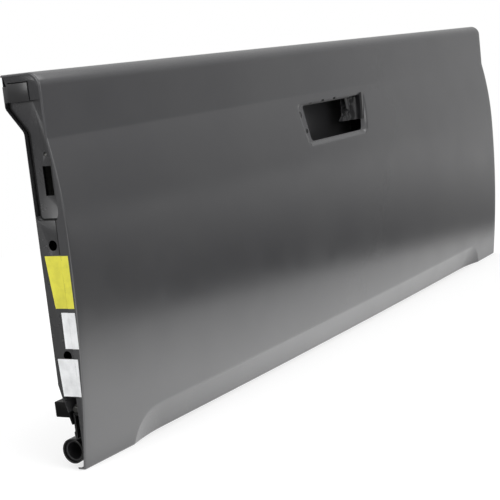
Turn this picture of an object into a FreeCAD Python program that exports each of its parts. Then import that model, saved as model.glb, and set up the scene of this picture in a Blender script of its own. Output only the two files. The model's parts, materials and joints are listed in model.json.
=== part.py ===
"""Pickup truck tailgate: a pressed outer skin and a drawn inner panel, hemmed together, with the end
latches, hinge cups, stops and brackets that show on its ends, and the open pocket of its handle.

Millimetres. X runs along the width, the outer face looks towards -Y, the bed side towards +Y, +Z is up.
The origin is the bottom centre of the tailgate's own box."""

import FreeCAD, Part
import math
import os

import Sketcher

doc = FreeCAD.newDocument("tailgate")

# Driving dimensions

SIZES = [
    ("width", 1640, "overall, end to end"),
    ("height", 550, "overall"),
    ("depth", 91, "middle of the outer face to the back of the top rail"),
    ("face_crown", 10, "how far the middle of the face stands ahead of its ends"),
    ("skin_gauge", 1, "sheet of the outer skin"),
    ("panel_gauge", 1, "sheet of the inner panel"),
    ("apex_height", 325, "height at which the face stands furthest out"),
    ("lower_sweep", 24, "how far the bottom edge lies behind the apex"),
    ("upper_sweep", 14, "how far the crease lies behind the apex"),
    ("crease_drop", 90, "top to the crease under the upright band"),
    ("roll_radius", 20, "rounded front corner of the top"),
    ("hem_reach", 27.5, "apex plane to the back edge of the side hems"),
    ("hem_trim", 6, "how much shorter the hems are beside the latch area"),
    ("foot_flange", 46, "apex plane to the back edge of the bottom flange"),
    ("tuck_height", 46, "pressed band along the bottom edge"),
    ("tuck_inset", 13, "how far that band goes in at the bottom"),
    ("tuck_margin", 115, "end of the tailgate to the band"),
    ("tuck_corner", 40, "radius of the band's upper corners"),
    ("tuck_blend", 26, "how far the ends of the band ease in"),
    ("pocket_width", 244, "handle pocket"),
    ("pocket_height", 78, "handle pocket"),
    ("pocket_drop", 14, "crease to the upper edge of the pocket"),
    ("pocket_depth", 9, "face to the ledge of the pocket"),
    ("pocket_corner", 10, "corner radius of the pocket"),
    ("pocket_tilt", 7, "degrees by which the ledge leans with the face"),
    ("opening_width", 224, "hole in the pocket"),
    ("opening_height", 66, "hole in the pocket"),
    ("opening_corner", 8, "corner radius of that hole"),
    ("handle_screw_hole", 7, "four holes in the ledge"),
    ("handle_screw_spread", 234, "between the holes, sideways"),
    ("handle_screw_rise", 29, "between the holes, upwards"),
    ("panel_set_in", 27, "back of the rail to the plane of the inner panel"),
    ("rail_height", 46, "back of the top rail"),
    ("rail_slope", 34, "height over which the panel runs out to the rail"),
    ("rail_bend", 11, "radius at both ends of that run"),
    ("end_corner", 2.5, "radius from the inner panel to its end walls"),
    ("foot_radius", 12, "radius along the panel's lower edge"),
    ("bead_depth", 5, "long beads sunk into the inner panel"),
    ("bead_height", 44, "each bead"),
    ("bead_length", 1320, "each bead"),
    ("bead_foot", 95, "lower edge to the middle of the lowest bead"),
    ("bead_pitch", 92, "from one bead to the next"),
    ("recess_depth", 6, "how far the latch area lies in from the end"),
    ("recess_drop", 37, "top to the latch area"),
    ("recess_height", 163, "latch area"),
    ("recess_margin", 3, "bed side of the panel to the latch area"),
    ("recess_corner", 5, "radius of its bed-side corners"),
    ("recess_slit", 2.8, "open slit along its bed side"),
    ("slot_width", 14.5, "latch slot, front to back"),
    ("slot_height", 40, "latch slot"),
    ("slot_drop", 146.5, "top to the middle of the slot"),
    ("slot_reach", 35.9, "apex plane to the middle of the slot"),
    ("gauge_hole", 5, "small hole above the slot"),
    ("gauge_hole_rise", 36, "middle of the slot to that hole"),
    ("end_hole", 14.5, "two round holes in each end wall"),
    ("end_hole_reach", 39.2, "apex plane to those holes"),
    ("upper_hole_drop", 234, "top to the upper end hole"),
    ("lower_hole_height", 162, "height of the lower end hole"),
    ("hinge_height", 25.7, "centre of the hinge cup"),
    ("hinge_reach", 52.7, "apex plane to the centre of the hinge cup"),
    ("cup_diameter", 36, "outside of the hinge cup"),
    ("cup_wall", 2.5, "wall of the hinge cup"),
    ("cup_length", 30, "hinge cup along its axis"),
    ("cup_set_in", 1, "end of the tailgate to the mouth of the cup"),
    ("bushing_wall", 3, "plastic ring in the cup"),
    ("bushing_length", 24, "plastic ring along its axis"),
    ("bushing_gap", 0.2, "clearance of the ring in the cup"),
    ("notch_width", 60, "hinge corner cut out of the panel, from the end"),
    ("notch_gap", 0.3, "clearance from the cup to the panel"),
    ("notch_step", 12, "front of the cut to the foot of its slope"),
    ("slope_foot", 64, "height where the panel's corner starts to slope"),
    ("slope_top", 125, "height where that slope meets the panel"),
    ("cavity_depth", 32, "open end of the hinge corner, from the end"),
    ("cavity_top", 104, "upper edge of that opening"),
    ("cavity_sill", 82, "height below which it is open to the bed side too"),
    ("bracket_gauge", 3, "plate of the hinge brackets"),
    ("bracket_set_in", 4, "end of the tailgate to the bracket's shelf"),
    ("bracket_top", 80, "upper face of that shelf"),
    ("stop_width", 34, "rubber stop along the width"),
    ("stop_height", 22, "rubber stop"),
    ("stop_set_in", 2, "end of the tailgate to the rubber stop"),
    ("stop_centre", 85, "height of the rubber stop"),
    ("stop_proud", 12, "how far the stop stands behind the inner panel"),
    ("stop_base", 2.5, "plate of rubber under the stop"),
    ("stop_radius", 3, "rounded edges of the stop"),
    ("latch_gauge", 2, "plate of the latch housing"),
    ("latch_height", 74, "latch housing"),
    ("latch_depth", 28, "latch housing, front to back"),
    ("latch_width", 22, "latch housing, along the width"),
    ("throat_gap", 2, "edge of the slot to the throat of the latch"),
    ("tab_width", 35, "end tab of the rail, front to back"),
    ("tab_height", 25, "end tab of the rail"),
    ("tab_drop", 13, "top to the upper edge of that tab"),
    ("tab_margin", 10, "back of the rail to that tab"),
    ("tab_slit", 1.4, "slit round the tab's upper and front edges"),
    ("corner_gap", 8, "dark gap at the rail's upper corner"),
    ("cover_width", 360, "access cover on the bed side"),
    ("cover_height", 112, "access cover"),
    ("cover_gauge", 1.5, "plate of the access cover"),
    ("cover_corner", 12, "corner radius of the access cover"),
    ("cover_lap", 14, "how far the cover laps the panel round its hole"),
    ("frame_gauge", 2, "plate of the reinforcement behind the pocket"),
    ("frame_border", 26, "border of that plate at the sides of the opening"),
    ("frame_flange", 12, "border of that plate above and below the opening"),
    ("lug_width", 12, "hooked lug that hangs in the opening"),
    ("lug_drop", 20, "how far the lug hangs down"),
    ("lug_place", 66, "middle of the opening to the lug"),
    ("rail_gauge", 1.5, "angle inside the top rail"),
    ("rail_flange", 36, "both legs of that angle"),
    ("rail_margin", 60, "end of the tailgate to that angle"),
    ("post_gauge", 1.2, "hat-section posts between skin and panel"),
    ("post_width", 60, "crown of the hat"),
    ("post_flange", 14, "each flange of the hat"),
    ("post_place", 330, "middle of the tailgate to the posts"),
    ("post_rise", 10, "tucked band to the lower end of the posts"),
    ("post_gap", 0.4, "clearance from the posts to the skin"),
]

sheet = doc.addObject("Spreadsheet::Sheet", "Sizes")
for row, (alias, value, meaning) in enumerate(SIZES, start=1):
    sheet.set(f"A{row}", alias)
    sheet.set(f"B{row}", str(value))
    sheet.set(f"C{row}", meaning)
    sheet.setAlias(f"B{row}", alias)
doc.recompute()


def size(alias):
    """The value of one driving dimension."""
    return float(sheet.get(alias))


# Places that several pieces share

top = size("height")
half_width = size("width") / 2
apex = -size("depth") / 2
rail_back = size("depth") / 2
panel_back = rail_back - size("panel_set_in")
crown_radius = half_width**2 / (2 * size("face_crown")) + size("face_crown") / 2
crease = top - size("crease_drop")
rail_foot = top - size("rail_height")
slope_start = rail_foot - size("rail_slope")
slot_height = top - size("slot_drop")
hinge_y = apex + size("hinge_reach")
notch_front = hinge_y - size("cup_diameter") / 2 - size("notch_gap")
slope_y = notch_front + size("notch_step")
pocket_middle = crease - size("pocket_drop") - size("pocket_height") / 2
cover_centre = pocket_middle
FAR = top
DIAGONAL = math.sqrt(0.5)


def vector(x, y, z):
    return FreeCAD.Vector(x, y, z)


def face_offset(z):
    """How far the outer face lies behind its apex at a height, in the middle of the width."""
    rise, sweep = size("apex_height"), size("lower_sweep")
    if z > size("apex_height"):
        rise, sweep = crease - size("apex_height"), size("upper_sweep")
    radius = (rise**2 + sweep**2) / (2 * sweep)
    reach = min(abs(z - size("apex_height")), rise)
    return radius - math.sqrt(radius**2 - reach**2)


def crown_offset(x):
    """How far the outer face falls back from its middle at a place along the width."""
    return crown_radius - math.sqrt(crown_radius**2 - x**2)


def face_arc(y, low, high):
    """Arc in the YZ plane that follows the outer face from one height to another, behind it by y."""
    middle = (low + high) / 2
    return Part.Arc(*[vector(0, apex + y + face_offset(z), z) for z in (low, middle, high)]).toShape()


def path(*points):
    """Straight edges from point to point in the YZ plane."""
    return [Part.makeLine(vector(0, *a), vector(0, *b)) for a, b in zip(points, points[1:])]


def quarter(centre, start, end):
    """Quarter round in the YZ plane about a centre."""
    out = vector(0, start[0] + end[0] - 2 * centre[0], start[1] + end[1] - 2 * centre[1]) * DIAGONAL
    middle = vector(0, *centre) + out
    return Part.Arc(vector(0, *start), middle, vector(0, *end)).toShape()


def spun(edges):
    """Revolves an outline in the YZ plane about the far upright axis that gives the face its crown."""
    section = Part.Face(Part.Wire(edges))
    axis = vector(0, apex + crown_radius, 0)
    sweep = math.degrees(2.2 * math.asin(half_width / crown_radius))
    section.rotate(axis, vector(0, 0, 1), -sweep / 2)
    return section.revolve(axis, vector(0, 0, 1), sweep)


def drawn(edges, start, length):
    """Extrudes an outline in the YZ plane along X."""
    form = Part.Face(Part.Wire(edges)).extrude(vector(length, 0, 0))
    form.translate(vector(start, 0, 0))
    return form


def at_end(side, form):
    """Keeps a form made for the right end, or mirrors it to the left."""
    if side < 0:
        return form.mirror(vector(0, 0, 0), vector(1, 0, 0))
    return form


# Outer skin

def outer_form(inset):
    """Solid behind the outer face, the top and the bottom edge, with every surface moved in by inset."""
    front = apex + inset
    band = front + size("upper_sweep")
    roof = top - inset
    roll = size("roll_radius") - inset
    arc_foot = size("tuck_height") / 2
    foot = front + face_offset(0)
    edges = [face_arc(inset, 0, size("apex_height")), face_arc(inset, size("apex_height"), crease)]
    edges += path((band, crease), (band, roof - roll))
    edges.append(quarter((band + roll, roof - roll), (band, roof - roll), (band + roll, roof)))
    edges += path((band + roll, roof), (FAR, roof), (FAR, 0), (foot, 0))
    ends = half_width - inset
    form = spun(edges)
    room = Part.makeBox(2 * ends, 2 * FAR, top - inset, vector(-ends, apex - arc_foot, inset))
    return form.common(room).cut(tuck_form(inset)).cut(pocket_form(inset))


def tuck_outline(half, y, roof):
    """Outline of the tucked band seen from the front: a strip with rounded upper corners."""
    low = -size("tuck_height")
    radius = size("tuck_corner")
    near = radius * (1 - DIAGONAL)
    return Part.Wire([
        Part.makeLine(vector(-half, y, low), vector(half, y, low)),
        Part.makeLine(vector(half, y, low), vector(half, y, roof - radius)),
        Part.Arc(vector(half, y, roof - radius), vector(half - near, y, roof - near),
                 vector(half - radius, y, roof)).toShape(),
        Part.makeLine(vector(half - radius, y, roof), vector(radius - half, y, roof)),
        Part.Arc(vector(radius - half, y, roof), vector(near - half, y, roof - near),
                 vector(-half, y, roof - radius)).toShape(),
        Part.makeLine(vector(-half, y, roof - radius), vector(-half, y, low)),
    ])


def tuck_form(inset):
    """What the tucked band along the bottom takes away from the outer form, grown by inset."""
    height = size("tuck_height")
    upper = apex + face_offset(height) + inset
    foot = apex + size("lower_sweep") + size("tuck_inset") + inset
    drop = foot - upper
    ahead = apex - size("tuck_inset") - drop
    wedge = path((foot + drop, -height), (upper - drop, 2 * height), (ahead, 2 * height),
                 (ahead, -height), (foot + drop, -height))
    half = half_width - size("tuck_margin") + inset
    front, back = ahead - drop, foot + 2 * drop
    slope = size("tuck_blend") / drop
    ends = Part.makeLoft([
        tuck_outline(half + slope * (upper - front), front, height + inset),
        tuck_outline(half - slope * (back - upper), back, height + inset),
    ], True, True)
    return spun(wedge).common(ends)


def rounded_block(width, height, thick, corner):
    """Block about the origin, standing in the XZ plane from y = 0 to y = thick, with rounded corners."""
    block = Part.makeBox(width, thick, height, vector(-width / 2, 0, -height / 2))
    corners = [e for e in block.Edges if abs(e.tangentAt(e.FirstParameter).y) > DIAGONAL]
    return block.makeFillet(corner, corners)


def on_ledge(solid):
    """Stands a solid on the ledge of the handle pocket: its y = 0 plane becomes the ledge."""
    solid.rotate(vector(0, 0, 0), vector(1, 0, 0), -size("pocket_tilt"))
    solid.translate(vector(0, apex + face_offset(pocket_middle) + size("pocket_depth"), pocket_middle))
    return solid


def pocket_form(inset):
    """The hollow of the handle pocket, grown by inset."""
    depth = size("depth")
    hollow = rounded_block(size("pocket_width") + 2 * inset, size("pocket_height") + 2 * inset,
                           depth, size("pocket_corner") + inset)
    hollow.translate(vector(0, inset - depth, 0))
    return on_ledge(hollow)


def opening_cutter(border):
    """Cutter for the hole in the pocket, with a border round it."""
    depth = size("depth")
    cutter = rounded_block(size("opening_width") + 2 * border, size("opening_height") + 2 * border,
                           depth, size("opening_corner") + border)
    cutter.translate(vector(0, -depth / 2, 0))
    return on_ledge(cutter)


def handle_screws():
    """Cutters for the four screw holes beside the opening."""
    reach = size("depth") / 2
    holes = []
    for side in (-1, 1):
        for level in (-1, 1):
            x, z = side * size("handle_screw_spread") / 2, level * size("handle_screw_rise") / 2
            hole = Part.makeCylinder(size("handle_screw_hole") / 2, 2 * reach, vector(x, -reach, z), vector(0, 1, 0))
            holes.append(on_ledge(hole))
    return holes


def make_outer_skin():
    """The skin with its roll, bottom flange and side hems."""
    gauge = size("skin_gauge")
    shell = outer_form(0).cut(outer_form(gauge))
    length = size("width") + 2 * FAR
    behind_foot = Part.makeBox(length, 2 * FAR, 2 * gauge, vector(-length / 2, apex + size("foot_flange"), -gauge))
    behind_top = Part.makeBox(length, 2 * FAR, top, vector(-length / 2, rail_back - size("panel_gauge"), gauge))
    cutters = [behind_foot, behind_top, opening_cutter(0)] + handle_screws()
    hem_end = top - gauge
    latch_top = top - size("recess_drop")
    spans = [(gauge, hem_end, size("hem_reach")),
             (latch_top - size("recess_height"), latch_top, size("hem_reach") - size("hem_trim"))]
    for low, high, reach in spans:
        for side in (-1, 1):
            behind = Part.makeBox(2 * gauge, 2 * FAR, high - low, vector(half_width - gauge, apex + reach, low))
            cutters.append(at_end(side, behind))
    return shell.cut(cutters)


# Inner panel

def panel_form(inset):
    """Solid in front of the inner panel's bed side, with every surface moved in by inset."""
    back, rail = panel_back - inset, rail_back - inset
    foot = inset
    lap = size("skin_gauge")
    radius = size("foot_radius") - inset
    joggle = apex + size("foot_flange")
    edges = path((-FAR, foot + lap), (joggle, foot + lap), (joggle + lap, foot), (back - radius, foot))
    edges.append(quarter((back - radius, foot + radius), (back - radius, foot), (back, foot + radius)))
    edges += path((back, foot + radius), (back, slope_start), (rail, rail_foot), (rail, top + FAR),
                  (-FAR, top + FAR), (-FAR, foot + lap))
    ends = half_width - size("skin_gauge") - inset
    form = drawn(edges, -ends, 2 * ends)
    form = form.makeFillet(size("rail_bend") + inset, edges_at(form, back, slope_start))
    form = form.makeFillet(size("rail_bend") - inset, edges_at(form, rail, rail_foot))
    upright = [e for e in form.Edges if e.Length > top / 2 and abs(e.CenterOfMass.y - back) < lap / 100]
    form = form.makeFillet(size("end_corner") - inset,
                           [e for e in upright if abs(e.CenterOfMass.x) > ends - lap])
    cuts = [bead_form(level, inset) for level in range(3)]
    for side in (-1, 1):
        cuts += [at_end(side, recess_form(inset)), at_end(side, notch_form(inset)),
                 at_end(side, cavity_form(inset))]
    return form.cut(cuts)


def edges_at(form, y, z):
    """The edges of a form that run across the width at one place of its section."""
    near = size("panel_gauge") / 100
    return [e for e in form.Edges if abs(e.CenterOfMass.y - y) < near and abs(e.CenterOfMass.z - z) < near]


def bead_form(level, inset):
    """A long bead sunk into the panel from the bed side, grown by inset; its ends are round."""
    depth, half = size("bead_depth"), size("bead_height") / 2
    straight = size("bead_length") / 2 - half
    floor = oblong(straight, half - depth + inset, panel_back - depth - inset)
    mouth = oblong(straight, half + depth + inset, panel_back + depth - inset)
    bead = Part.makeLoft([floor, mouth], True, True)
    bead.translate(vector(0, 0, size("bead_foot") + level * size("bead_pitch")))
    return bead


def oblong(half, radius, y):
    """Round-ended outline in a plane of constant y."""
    return Part.Wire([
        Part.makeLine(vector(-half, y, -radius), vector(half, y, -radius)),
        Part.Arc(vector(half, y, -radius), vector(half + radius, y, 0), vector(half, y, radius)).toShape(),
        Part.makeLine(vector(half, y, radius), vector(-half, y, radius)),
        Part.Arc(vector(-half, y, radius), vector(-half - radius, y, 0), vector(-half, y, -radius)).toShape(),
    ])


def recess_block(start, margin, inset):
    """The latch area's outline, grown by inset, from a place along the width to beyond the right end.

    On the bed side it keeps its margin from the panel and follows the slope under the rail.
    """
    off = margin - inset
    back, rail = panel_back - off, rail_back - off
    high = top - size("recess_drop") + inset
    low = high - size("recess_height") - 2 * inset
    edges = path((-FAR, low), (back, low), (back, slope_start), (rail, rail_foot), (rail, high), (-FAR, high),
                 (-FAR, low))
    block = drawn(edges, start, FAR)
    corner = size("recess_corner") + inset
    rounds = [(corner, back, low), (size("rail_bend") + off, back, slope_start),
              (size("rail_bend") - off, rail, rail_foot), (corner, rail, high)]
    for radius, y, z in rounds:
        block = block.makeFillet(radius, edges_at(block, y, z))
    return block


def recess_form(inset):
    """The latch area sunk into the right end, grown by inset."""
    return recess_block(half_width - size("recess_depth") - inset, size("recess_margin"), inset)


def recess_slit():
    """Cutter for the slit beside the latch area: it follows the bed side and takes the thin wall there."""
    gauge, slit, margin = size("panel_gauge"), size("recess_slit"), size("recess_margin")
    start = half_width - size("recess_depth") - 2 * gauge
    whole = recess_block(start, margin, gauge)
    kept = recess_block(start, margin + slit, 0)
    ends = size("recess_corner") + gauge
    low = top - size("recess_drop") - size("recess_height") + ends
    room = Part.makeBox(2 * FAR, 2 * FAR, size("recess_height") - ends - gauge, vector(start - gauge, -FAR, low))
    return whole.cut(kept).common(room)


def notch_form(inset):
    """The hinge corner cut out of the right end of the panel, grown by inset."""
    front = notch_front - inset
    edges = path((front, -FAR), (front, size("slope_foot") - size("notch_step") / 2), (slope_y - inset, size("slope_foot")),
                 (panel_back - inset, size("slope_top")), (FAR, size("slope_top")), (FAR, -FAR), (front, -FAR))
    return drawn(edges, half_width - size("notch_width") - inset, FAR)


def slope_at(z):
    """Where the sloping corner of the panel lies at a height."""
    run = (panel_back - slope_y) / (size("slope_top") - size("slope_foot"))
    return slope_y + run * (z - size("slope_foot"))


def cavity_form(inset):
    """The open end of the right hinge corner, grown by inset."""
    wall = size("panel_gauge") - inset
    high, sill = size("cavity_top") + inset, size("cavity_sill") + inset
    front = notch_front - inset
    edges = path((front, -FAR), (front, high), (slope_at(high) - wall, high), (slope_at(sill) - wall, sill),
                 (FAR, sill), (FAR, -FAR), (front, -FAR))
    return drawn(edges, half_width - size("cavity_depth") - inset, FAR)


def make_inner_panel():
    """The drawn panel with its end walls, and what is pierced through it."""
    gauge = size("panel_gauge")
    ends = half_width - size("skin_gauge")
    room = outer_form(size("skin_gauge"))
    room = room.fuse(Part.makeBox(2 * ends, FAR, 3 * gauge, vector(-ends, apex + size("foot_flange"), -gauge)))
    panel = panel_form(0).common(room).cut(panel_form(gauge))
    cutters = [cover_hole()]
    for side in (-1, 1):
        cutters += [at_end(side, cutter) for cutter in end_cutters()]
    return panel.cut(cutters)


def end_cutters():
    """What is pierced through the right end wall: slot, round holes, the tab's slit and the corner gap."""
    reach = 2 * size("recess_depth")
    start = half_width - reach
    slot_y = apex + size("slot_reach")
    slot = Part.makeBox(2 * reach, size("slot_width"), size("slot_height"),
                        vector(start, slot_y - size("slot_width") / 2, slot_height - size("slot_height") / 2))
    hole_y = apex + size("end_hole_reach")
    round_holes = [
        Part.makeCylinder(across / 2, 2 * reach, vector(start, y, z), vector(1, 0, 0))
        for across, y, z in (
            (size("end_hole"), hole_y, top - size("upper_hole_drop")),
            (size("end_hole"), hole_y, size("lower_hole_height")),
            (size("gauge_hole"), slot_y, slot_height + size("gauge_hole_rise")),
        )
    ]
    slit = size("tab_slit")
    tab_back = rail_back - size("tab_margin")
    tab_front = tab_back - size("tab_width")
    tab_top = top - size("tab_drop")
    along = Part.makeBox(2 * reach, size("tab_width") + slit, slit, vector(start, tab_front - slit, tab_top))
    down = Part.makeBox(2 * reach, slit, size("tab_height"), vector(start, tab_front - slit, tab_top - size("tab_height")))
    gap = size("corner_gap")
    lip = 2 * size("panel_gauge")
    corner = drawn(path((rail_back + lip, top - 2 * gap), (rail_back - gap, top - 2 * gap),
                        (rail_back - gap / 2, top - lip), (rail_back + lip, top - lip),
                        (rail_back + lip, top - 2 * gap)), half_width - gap / 2, reach)
    return [slot, along, down, corner, recess_slit()] + round_holes


def cover_hole():
    """The hole that the access cover closes."""
    lap = size("cover_lap")
    hole = rounded_block(size("cover_width") - 2 * lap, size("cover_height") - 2 * lap,
                         size("panel_set_in"), size("cover_corner"))
    hole.translate(vector(0, panel_back - size("panel_set_in") / 2, cover_centre))
    return hole


# Reinforcements of pressed sheet

def make_post(side):
    """Hat-section post from the inner panel forward to the skin, curved like the face."""
    place = side * size("post_place")
    gauge, half = size("post_gauge"), size("post_width") / 2
    low, high = size("tuck_height") + size("post_rise"), size("apex_height")
    seat = panel_back - size("panel_gauge") - size("bead_depth")
    crest = size("skin_gauge") + size("post_gap") + crown_offset(abs(place) + half)

    def hat(inset):
        edges = [face_arc(crest + inset, low, high)]
        head, foot = apex + crest + inset + face_offset(high), apex + crest + inset + face_offset(low)
        edges += path((head, high), (seat, high), (seat, low), (foot, low))
        return drawn(edges, place - half + inset, 2 * half - 2 * inset)

    flanges = [
        Part.makeBox(size("post_flange"), gauge, high - low, vector(x, seat - gauge, low))
        for x in (place - half - size("post_flange"), place + half)
    ]
    return hat(0).cut(hat(gauge)).fuse(flanges)


def make_frame():
    """Reinforcing frame behind the pocket, open like the pocket."""
    lap = size("skin_gauge")
    plate = rounded_block(size("opening_width") + 2 * size("frame_border"),
                          size("opening_height") + 2 * size("frame_flange"),
                          size("frame_gauge"), size("opening_corner"))
    plate.translate(vector(0, lap, 0))
    return on_ledge(plate).cut([opening_cutter(lap)] + handle_screws())


def make_lug():
    """Hooked lug welded behind the frame's upper border; it hangs down into the opening."""
    gauge = size("frame_gauge")
    seat = size("skin_gauge") + gauge
    wide, drop = size("lug_width"), size("lug_drop")
    tail = size("opening_height") / 2 - drop
    place = size("lug_place")
    strap = Part.makeBox(wide, gauge, drop + size("frame_flange"), vector(place, seat, tail))
    hook = Part.makeBox(wide, drop / 3, gauge, vector(place, seat, tail))
    return on_ledge(strap.fuse(hook))


nodes = []


def add_shape(name, shape):
    """A sub-part of pressed sheet: a feature that holds its finished shape."""
    feature = doc.addObject("Part::Feature", name)
    feature.Label = name
    feature.Shape = shape.removeSplitter()
    feature.Placement = FreeCAD.Placement()
    nodes.append(feature)


add_shape("outer_skin", make_outer_skin())
add_shape("inner_panel", make_inner_panel())
add_shape("left_post", make_post(-1))
add_shape("right_post", make_post(1))
add_shape("handle_frame", make_frame())
add_shape("handle_lug", make_lug())


# Bodies drawn in sketches bound to the sheet

def add_body(name):
    body = doc.addObject("PartDesign::Body", name)
    body.Label = name
    return body


def add_sketch(body, plane, name):
    """An empty sketch on one of the body's own planes."""
    sketch = body.newObject("Sketcher::SketchObject", name)
    origin = next(o for o in body.Origin.OriginFeatures if o.Role == plane)
    sketch.AttachmentSupport = (origin, [""])
    sketch.MapMode = "FlatFace"
    return sketch


def bound(sketch, kind, *where):
    """Adds a constraint whose value the last argument, an expression, gives."""
    *place, expression = where
    index = sketch.addConstraint(Sketcher.Constraint(kind, *place, 1.0 if kind == "Radius" else 0.0))
    sketch.setExpression(f"Constraints[{index}]", expression)


def outline(sketch, corners):
    """A closed outline of straight lines, each corner placed by a pair of expressions."""
    count = len(corners)
    turns = [2 * math.pi * i / count for i in range(count)]
    flat = [vector(math.cos(turn), math.sin(turn), 0) for turn in turns]
    for i, start in enumerate(flat):
        sketch.addGeometry(Part.LineSegment(start, flat[(i + 1) % count]), False)
    for i in range(count):
        sketch.addConstraint(Sketcher.Constraint("Coincident", i, 2, (i + 1) % count, 1))
    for i, (across, up) in enumerate(corners):
        bound(sketch, "DistanceX", -1, 1, i, 1, across)
        bound(sketch, "DistanceY", -1, 1, i, 1, up)


def rectangle(sketch, left, right, low, high):
    outline(sketch, [(left, low), (right, low), (right, high), (left, high)])


def circle(sketch, across, up, radius):
    """A circle whose centre and radius are expressions."""
    index = sketch.addGeometry(Part.Circle(vector(0, 0, 0), vector(0, 0, 1), 1), False)
    bound(sketch, "Radius", index, radius)
    bound(sketch, "DistanceX", -1, 1, index, 3, across)
    bound(sketch, "DistanceY", -1, 1, index, 3, up)


def extrude(body, kind, sketch, name, length, backwards=False):
    """A Pad or a Pocket of a sketch, its length an expression."""
    feature = body.newObject(f"PartDesign::{kind}", name)
    feature.Profile = sketch
    feature.setExpression("Length", length)
    feature.Reversed = backwards
    return feature


def round_edges(body, base, name, radius, chosen):
    """Rounds the edges of a feature that a test picks."""
    doc.recompute()
    edges = [f"Edge{i}" for i, edge in enumerate(base.Shape.Edges, start=1) if chosen(edge)]
    fillet = body.newObject("PartDesign::Fillet", name)
    fillet.Base = (base, edges)
    fillet.setExpression("Radius", radius)
    body.Tip = fillet
    return fillet


def place(body, across, forward, up):
    """Binds the place of a body to three expressions."""
    for axis, expression in zip("xyz", (across, forward, up)):
        body.setExpression(f".Placement.Base.{axis}", expression)


def both_ends(body, label):
    """Keeps a left-hand body and adds its mirror image at the other end."""
    other = doc.addObject("Part::Mirroring", f"right_{label}")
    other.Label = f"right_{label}"
    other.Source = body
    other.Normal = vector(1, 0, 0)
    other.Base = vector(0, 0, 0)
    nodes.extend([body, other])


END = "-Sizes.width / 2"
APEX = "-Sizes.depth / 2"
RAIL_BACK = "Sizes.depth / 2"
PANEL_BACK = "Sizes.depth / 2 - Sizes.panel_set_in"
HINGE_Y = f"{APEX} + Sizes.hinge_reach"
NOTCH_FRONT = f"{HINGE_Y} - Sizes.cup_diameter / 2 - Sizes.notch_gap"
SLOPE_Y = f"{NOTCH_FRONT} + Sizes.notch_step"


def slope_place(height):
    """Expression for where the panel's sloping corner lies at a height, itself an expression."""
    return (f"{SLOPE_Y} + ({PANEL_BACK} - ({SLOPE_Y})) * ({height} - Sizes.slope_foot)"
            f" / (Sizes.slope_top - Sizes.slope_foot)")


def make_cup():
    """Round cup that turns on the bed side's hinge pin; its mouth looks out of the end."""
    body = add_body("left_hinge_cup")
    outside = add_sketch(body, "YZ_Plane", "cup_outside")
    circle(outside, "0", "0", "Sizes.cup_diameter / 2")
    extrude(body, "Pad", outside, "cup_wall", "Sizes.cup_length")
    bore = add_sketch(body, "YZ_Plane", "cup_bore")
    circle(bore, "0", "0", "Sizes.cup_diameter / 2 - Sizes.cup_wall")
    extrude(body, "Pocket", bore, "cup_hollow", "Sizes.cup_length - Sizes.cup_wall", True)
    place(body, f"{END} + Sizes.cup_set_in", HINGE_Y, "Sizes.hinge_height")
    both_ends(body, "hinge_cup")


def make_bushing():
    """Plastic ring inside the cup."""
    body = add_body("left_hinge_bushing")
    section = add_sketch(body, "YZ_Plane", "bushing_section")
    outer = "Sizes.cup_diameter / 2 - Sizes.cup_wall - Sizes.bushing_gap"
    circle(section, "0", "0", outer)
    circle(section, "0", "0", f"{outer} - Sizes.bushing_wall")
    extrude(body, "Pad", section, "bushing_ring", "Sizes.bushing_length")
    place(body, f"{END} + Sizes.cup_set_in + Sizes.cup_length - Sizes.cup_wall - Sizes.bushing_length",
          HINGE_Y, "Sizes.hinge_height")
    both_ends(body, "hinge_bushing")


def make_hinge_bracket():
    """Web behind the cup, with a strap that rises over it and turns forward into a shelf."""
    body = add_body("left_hinge_bracket")
    gauge = "Sizes.bracket_gauge"
    half = "Sizes.cup_diameter / 2"
    cup_top = f"Sizes.hinge_height + {half}"
    shelf = "Sizes.bracket_top"
    front = f"{NOTCH_FRONT} + Sizes.notch_gap"
    back = SLOPE_Y
    web = add_sketch(body, "YZ_Plane", "bracket_web")
    outline(web, [
        (front, f"Sizes.hinge_height - {half}"), (f"{HINGE_Y} + {half}", f"Sizes.hinge_height - {half}"),
        (f"{HINGE_Y} + {half}", cup_top), (back, f"{cup_top} + {half} / 2"), (front, f"{cup_top} + {half} / 2"),
    ])
    extrude(body, "Pad", web, "web_plate", gauge, False)
    strap = add_sketch(body, "YZ_Plane", "bracket_strap")
    outline(strap, [
        (f"{back} - {gauge}", cup_top), (back, cup_top), (back, shelf), (front, shelf),
        (front, f"{shelf} - {gauge}"), (f"{back} - {gauge}", f"{shelf} - {gauge}"),
    ])
    reach = "Sizes.cup_set_in + Sizes.cup_length - Sizes.bracket_set_in"
    extrude(body, "Pad", strap, "strap_plate", reach, True)
    place(body, f"{END} + Sizes.cup_set_in + Sizes.cup_length", "0", "0")
    both_ends(body, "hinge_bracket")


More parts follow.
